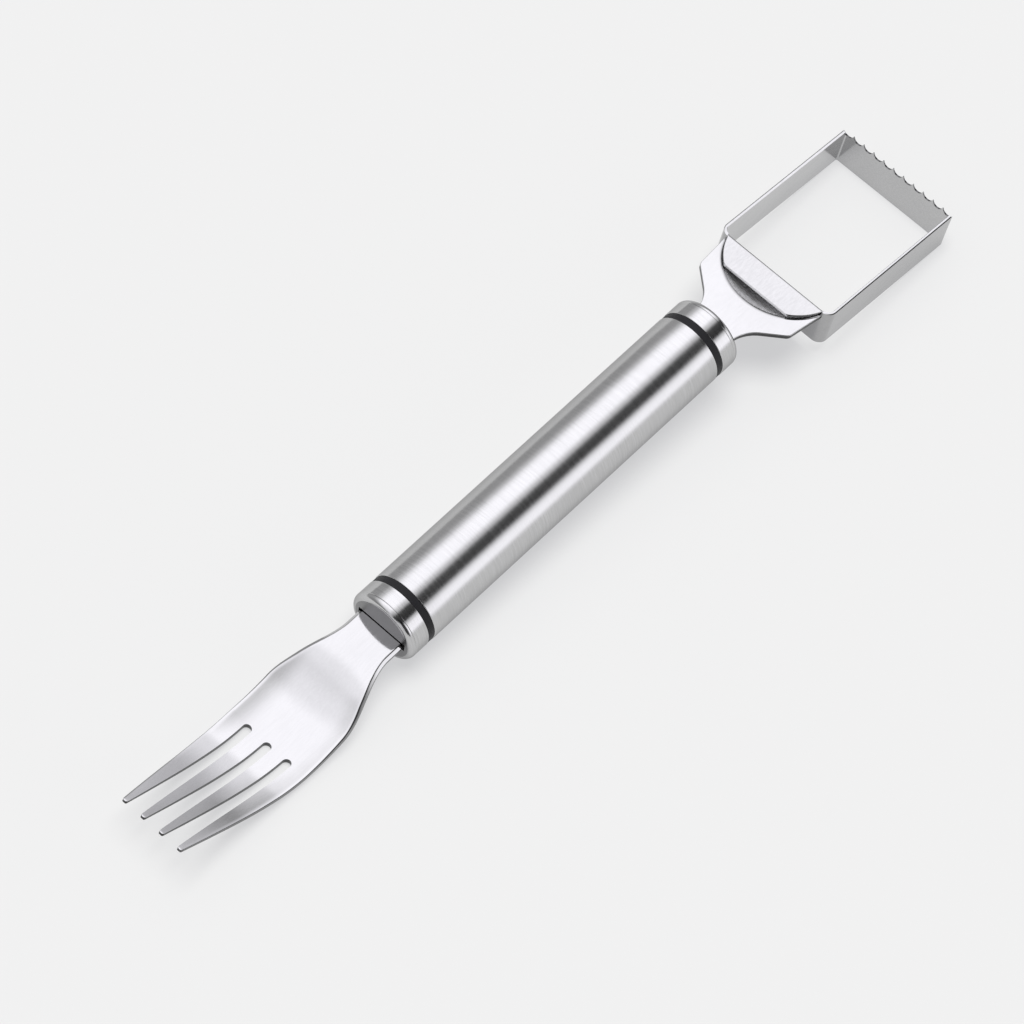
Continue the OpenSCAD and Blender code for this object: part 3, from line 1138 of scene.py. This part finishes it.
@dataclass
class CutterBlade:
    """Thin strap bent to a square loop, with scalloped teeth and a flange folded over the neck."""

    neck: CutterNeck
    thick: float = 0.7
    length: float = 43.6
    width: float = 31.2
    height: float = 9.8
    near_r: float = 2.3
    far_r: float = 1.1
    reach: float = 6.5
    flange_w: float = 17.6
    flange_r: float = 1.0
    scallops: int = 11
    tooth_flat: float = 0.2
    scallop_depth: float = 1.3
    tooth_t: float = 0.2
    grind_h: float = 2.6
    edge_r: float = 0.1
    bevel: Flat = (0.24, 0.13)
    flange_steps: int = 14
    fold_steps: int = 8
    corner_steps: int = 16
    near_steps: int = 120
    side_steps: int = 30
    scallop_steps: int = 14
    place_digits: int = 5

    @property
    def top(self) -> float:
        """Height of the blade's top above the middle of the neck plate."""
        return self.neck.thick / 2 + self.thick

    def flange_reach(self, v: float) -> float:
        """Reach of the flange over the neck at a place across it.

        Args:
            v: Distance from the middle.

        Returns:
            The reach, 0 where the flange has ended.
        """
        root = (-self.thick / 2, self.width / 2 - self.near_r)
        edge = (self.reach, self.flange_w / 2)
        middle = (root[1] ** 2 + root[0] ** 2 - edge[1] ** 2 - edge[0] ** 2) / (2 * (root[0] - edge[0]))
        bow, r = math.hypot(edge[0] - middle, edge[1]), self.flange_r
        round_v = math.sqrt((bow - r) ** 2 - (self.reach - r - middle) ** 2)
        turn = math.atan2(round_v, self.reach - r - middle)
        off = abs(v)
        if off <= round_v:
            return self.reach
        if off <= round_v + r * math.sin(turn):
            return self.reach - r + math.sqrt(max(0.0, r * r - (off - round_v) ** 2))
        return max(0.0, middle + math.sqrt(max(0.0, bow * bow - off * off)))

    def corner(self, u: float, v: float, r: float, start: float, toothed: bool) -> list[Station]:
        """Stations round a corner, without its ends.

        Args:
            u: Middle of the corner along the plate.
            v: Middle of the corner across.
            r: Outside radius.
            start: Angle at which it begins, in degrees; it turns back by a right angle.
            toothed: Whether the teeth run on over it.

        Returns:
            The stations in order.
        """
        made: list[Station] = []
        for turn in spread(start, start - 90.0, self.corner_steps)[1:-1]:
            out = (math.cos(math.radians(turn)), math.sin(math.radians(turn)))
            made.append(Station(u + r * out[0], v + r * out[1], out, toothed=toothed))
        return made

    def loop(self) -> list[Station]:
        """Stations round the whole loop.

        Returns:
            The stations of the near wall, one side, the toothed wall and the other side, in order.
        """
        near_u, far_u = self.neck.length, self.neck.length + self.length
        half, near_v, far_v = self.width / 2, self.width / 2 - self.near_r, self.width / 2 - self.far_r
        side = spread(near_u + self.near_r, far_u - self.far_r, self.side_steps)
        near = [Station(near_u, v, (-1.0, 0.0), self.flange_reach(v), folded=True)
                for v in spread(-near_v, near_v, self.near_steps)]
        middles = [(i + 0.5) * self.pitch - half for i in range(self.scallops)]
        ends = [self.scallop_half * math.cos(a) for a in spread(math.pi, 0.0, self.scallop_steps)]
        places = {round(middle + end, self.place_digits) for middle in middles for end in ends}
        teeth = sorted({v for v in places if abs(v) < far_v} | {-far_v, far_v}, reverse=True)
        return (near
                + self.corner(near_u + self.near_r, near_v, self.near_r, 180.0, False)
                + [Station(u, half, (0.0, 1.0)) for u in side]
                + self.corner(far_u - self.far_r, far_v, self.far_r, 90.0, True)
                + [Station(far_u, v, (1.0, 0.0), toothed=True) for v in teeth]
                + self.corner(far_u - self.far_r, -far_v, self.far_r, 0.0, True)
                + [Station(u, -half, (0.0, -1.0)) for u in reversed(side)]
                + self.corner(near_u + self.near_r, -near_v, self.near_r, -90.0, False))

    @property
    def pitch(self) -> float:
        """Distance from one scallop to the next."""
        return self.width / self.scallops

    @property
    def scallop_half(self) -> float:
        """Half the width of a scallop at the top of the teeth."""
        return (self.pitch - self.tooth_flat) / 2

    def notch(self, v: float) -> float:
        """Depth of the scallops below the top.

        Args:
            v: Place across the blade.

        Returns:
            The depth there.
        """
        off = (v + self.width / 2) % self.pitch - self.pitch / 2
        r = (self.scallop_half ** 2 + self.scallop_depth ** 2) / (2 * self.scallop_depth)
        return max(0.0, self.scallop_depth - r + math.sqrt(max(0.0, r * r - off * off)))

    def ground(self, height: float) -> float:
        """Furthest that the toothed wall reaches at a height from the top; it is ground thin from outside."""
        share = max(0.0, 1 + height / self.grind_h)
        return self.neck.length + self.length - (self.thick - self.tooth_t) * share

    def section(self, at: Station) -> list[Flat]:
        """Closed cross-section of the strap.

        Args:
            at: Place on the loop.

        Returns:
            Distances out of the outer face and heights from the top, from the outer face's lower edge up and
            over to the inner face's. Every section has the same number of corners.
        """
        r, t, bottom = self.edge_r, self.thick, -self.height
        wide, deep = (0.0, 0.0) if at.folded else self.bevel
        if at.reach > r:
            under = [(x, -t) for x in spread(0.0, at.reach - r, self.flange_steps)]
            rim = [(at.reach, r - t), (at.reach, -r)]
            over = [(x, 0.0) for x in spread(at.reach - r, 0.0, self.flange_steps)]
        else:
            under = [(0.0, -deep)] * (self.flange_steps + 1)
            rim = [(0.0, -deep)] * 2
            over = [(-wide, 0.0)] * (self.flange_steps + 1)
        if at.folded:
            top = [(-t * math.sin(a), t * math.cos(a) - t) for a in spread(0.0, QUARTER, self.fold_steps)[1:]]
        else:
            inner = 0.0 if at.toothed else r
            top = [(x, 0.0) for x in spread(-wide, inner - t, self.fold_steps - 1)[1:]] + [(-t, -inner)]
        foot = [(-r, bottom), (0.0, bottom + r), (0.0, -self.grind_h)]
        return foot + under + rim + over + top + [(-t, bottom + r), (r - t, bottom)]

    def build(self, shop: Workshop) -> None:
        """Make and dress the blade.

        Args:
            shop: Where the piece is made.
        """
        made = Solid()
        stations = self.loop()
        for at in stations:
            for out, height in self.section(at):
                u, v = at.u + out * at.out[0], at.v + out * at.out[1]
                if at.toothed and height > -self.grind_h:
                    height -= self.notch(v)
                if at.toothed:
                    u = min(u, self.ground(height))
                made.points.append(self.neck.head(u, v, self.top + height))
        toothed = [n for n, at in enumerate(stations) if at.toothed]
        plain = [n for n, at in enumerate(stations) if not at.toothed]
        section = self.section(stations[toothed[0]])
        size, ground = len(section), section.index((0.0, -self.grind_h))
        top = [i for i, (_, height) in enumerate(section) if height == 0.0]
        made.link_rings(size, len(stations))
        # The plain walls' outer face is painted darker for shade, and the teeth's cut edges are painted dark
        # for shade.
        made.accents = [made.faces[n * size + ground] for n in toothed]
        made.walls = [made.faces[n * size + i] for n in plain for i in (ground - 1, ground)]
        made.edges = [made.faces[n * size + i] for n in toothed for i in top[:-1]]
        made.set_apart()
        shop.piece("cutter_blade", made, (STRAP, OUTSIDE_PAINTED_SHADE, GROUND, TRIMMED_PAINTED_SHADE))


@dataclass(frozen=True)
class Stop:
    """Light level at an angle round the tool's long axis, or at a direction's share along it, -1 to 1."""

    at: float
    level: float


@dataclass
class Studio:
    """Pale floor with a lamp of its own, soft light from long panels, and the camera."""

    floor_size: float = 8.0
    pale: Color = (0.934, 0.937, 0.962)
    floor_color: Color = (0.309, 0.308, 0.273)
    lifted: float = 0.6
    brightest: float = 1.82
    light: Color = (0.965, 0.955, 1.0)
    panels: tuple[Stop, ...] = (
        Stop(-180.0, 0.5), Stop(-90.0, 0.4), Stop(0.0, 0.25), Stop(25.0, 0.26), Stop(37.5, 0.45),
        Stop(49.5, 0.85), Stop(58.0, 1.0), Stop(85.0, 1.0), Stop(99.0, 0.5), Stop(110.0, 0.04),
        Stop(133.0, 0.02), Stop(142.0, 0.55), Stop(150.0, 0.9), Stop(168.0, 0.95), Stop(176.0, 0.6),
        Stop(180.0, 0.5))
    ends: tuple[Stop, ...] = (
        Stop(-1.0, 0.5), Stop(-0.7, 0.74), Stop(-0.4, 0.84), Stop(-0.15, 1.0), Stop(0.7, 1.0),
        Stop(0.81, 0.77), Stop(0.9, 0.46), Stop(1.0, 0.2))
    card: Point = (-0.42, -0.83, 0.36)
    card_edge: Flat = (0.86, 0.93)
    card_level: float = 0.05
    lamp_color: Color = (0.91, 0.91, 1.0)
    lamp_strength: float = 6.0
    lamp_angle: float = 35.0
    eye: Point = (-0.49825, -0.2962, 0.9223)
    azimuth: float = -58.77
    elevation: float = 57.93
    roll: float = 13.0
    lens: float = 183.76
    sensor: float = 36.0
    nearest: float = 0.01

    def build(self) -> None:
        """Make the floor and its lamp, the light and the camera."""
        self.build_lamp(self.build_floor())
        self.build_light()
        self.build_camera()
        bpy.context.scene.view_settings.view_transform = "Standard"
        LOG.info("studio: floor, light and camera")

    def build_floor(self) -> bpy.types.Object:
        """Lay the floor that the tool rests on.

        Returns:
            The floor, which isn't part of the tool.
        """
        half = self.floor_size / 2
        corners = [(-half, -half, 0.0), (half, -half, 0.0), (half, half, 0.0), (-half, half, 0.0)]
        data = bpy.data.meshes.new("floor")
        data.from_pydata(corners, [], [(0, 1, 2, 3)])
        paper = bpy.data.materials.new("paper_floor")
        paper.use_nodes = True
        nodes = ShaderTree(paper.node_tree)
        matte = nodes.add("BsdfDiffuse", {"Color": (*self.floor_color, 1.0), "Roughness": 0.0})
        plain = nodes.add("Emission", {"Color": (*self.pale, 1.0), "Strength": 1.0})
        path = nodes.add("LightPath").outputs
        shown = path["Is Camera Ray"]
        for ray in ("Is Glossy Ray", "Is Transmission Ray"):
            shown = nodes.add("Math", {"0": shown, "1": path[ray]}, operation="MAXIMUM").outputs[0]
        lift = nodes.remap(shown, UNIT, (0.0, self.lifted))
        both = nodes.add("MixShader", {"0": lift, "1": matte.outputs[0], "2": plain.outputs[0]})
        nodes.add("OutputMaterial", {"Surface": both.outputs[0]})
        data.materials.append(paper)
        floor = show("floor", data)
        return floor

    def build_lamp(self, floor: bpy.types.Object) -> None:
        """Hang a soft lamp over the floor, which draws the tool's shadow close.

        Args:
            floor: The only thing that the lamp lights; the tool gets its light from the panels.
        """
        data = bpy.data.lights.new("overhead", "SUN")
        data.color = self.lamp_color
        data.energy = self.lamp_strength
        data.angle = math.radians(self.lamp_angle)
        lit = bpy.data.collections.new("floor_only")
        lit.objects.link(floor)
        show("overhead", data).light_linking.receiver_collection = lit

    def ramp(self, nodes: ShaderTree, value: bpy.types.NodeSocket, span: Flat, stops: tuple[Stop, ...],
             color: Color) -> bpy.types.NodeSocket:
        """Add a run of light levels.

        Args:
            nodes: The world's nodes.
            value: Where a direction lies between the first and the last stop.
            span: Values of the first and the last stop.
            stops: The levels in order.
            color: Colour of the full level.

        Returns:
            The level's colour.
        """
        made = nodes.add("ValToRGB", {"Fac": nodes.remap(value, span, UNIT)})
        ramp = made.color_ramp
        ramp.interpolation = "EASE"
        ramp.elements.remove(ramp.elements[-1])
        low, high = stops[0].at, stops[-1].at
        for number, stop in enumerate(stops):
            place = (stop.at - low) / (high - low)
            mark = ramp.elements[0] if number == 0 else ramp.elements.new(place)
            mark.position = place
            mark.color = (*[stop.level * (1 + (c - 1) * stop.level) for c in color], 1.0)
        return made.outputs["Color"]

    def build_light(self) -> None:
        """Light the tool from long panels round its long axis; the camera sees a plain backdrop."""
        world = bpy.data.worlds.new("studio")
        bpy.context.scene.world = world
        world.use_nodes = True
        nodes = ShaderTree(world.node_tree)
        way_out = nodes.add("TexCoord").outputs["Generated"]
        way = nodes.add("SeparateXYZ", {"Vector": way_out})
        angle = nodes.add("Math", {"0": way.outputs["Z"], "1": way.outputs["Y"]}, operation="ARCTAN2")
        panels = self.ramp(nodes, angle.outputs[0], (-math.pi, math.pi), self.panels, self.light)
        ends = self.ramp(nodes, way.outputs["X"], (-1.0, 1.0), self.ends, WHITE)
        facing = nodes.add("VectorMath", {"0": way_out, "1": self.card}, operation="DOT_PRODUCT")
        shade = nodes.remap(facing.outputs["Value"], self.card_edge, (1.0, self.card_level))
        lit = nodes.multiply(nodes.multiply(panels, ends), shade)
        dome = nodes.add("Background", {"Color": lit, "Strength": self.brightest})
        plain = nodes.add("Background", {"Color": (*self.pale, 1.0), "Strength": 1.0})
        seen = nodes.add("LightPath").outputs["Is Camera Ray"]
        both = nodes.add("MixShader", {"0": seen, "1": dome.outputs[0], "2": plain.outputs[0]})
        nodes.add("OutputWorld", {"Surface": both.outputs[0]})

    def build_camera(self) -> None:
        """Set the camera at the photograph's angle."""
        data = bpy.data.cameras.new("camera")
        data.type = "PERSP"
        data.lens = self.lens
        data.sensor_width = self.sensor
        data.clip_start = self.nearest
        camera = show("camera", data)
        a, e = math.radians(self.azimuth), math.radians(self.elevation)
        back = Vector((math.sin(a) * math.cos(e), -math.cos(a) * math.cos(e), math.sin(e)))
        camera.location = self.eye
        camera.rotation_mode = "QUATERNION"
        level = (-back).to_track_quat("-Z", "Y")
        camera.rotation_quaternion = level @ Quaternion((0.0, 0.0, 1.0), math.radians(self.roll))
        bpy.context.scene.camera = camera


def main() -> None:
    """Build every sub-assembly in order, then the studio."""
    logging.basicConfig(level=logging.INFO, format="%(name)s: %(message)s")
    grip = Grip.from_record(frame["record"])
    shop = Workshop(grip)
    handle = Handle(grip)
    fork = Fork(handle)
    neck = CutterNeck(handle)
    blade = CutterBlade(neck)
    handle.build(shop, {Side.FORK: (fork.neck_w, fork.thick), Side.CUTTER: (neck.neck_w, neck.thick)})
    fork.build(shop)
    neck.build(shop)
    blade.build(shop)
    Studio().build()


if __name__ == "__main__":
    main()
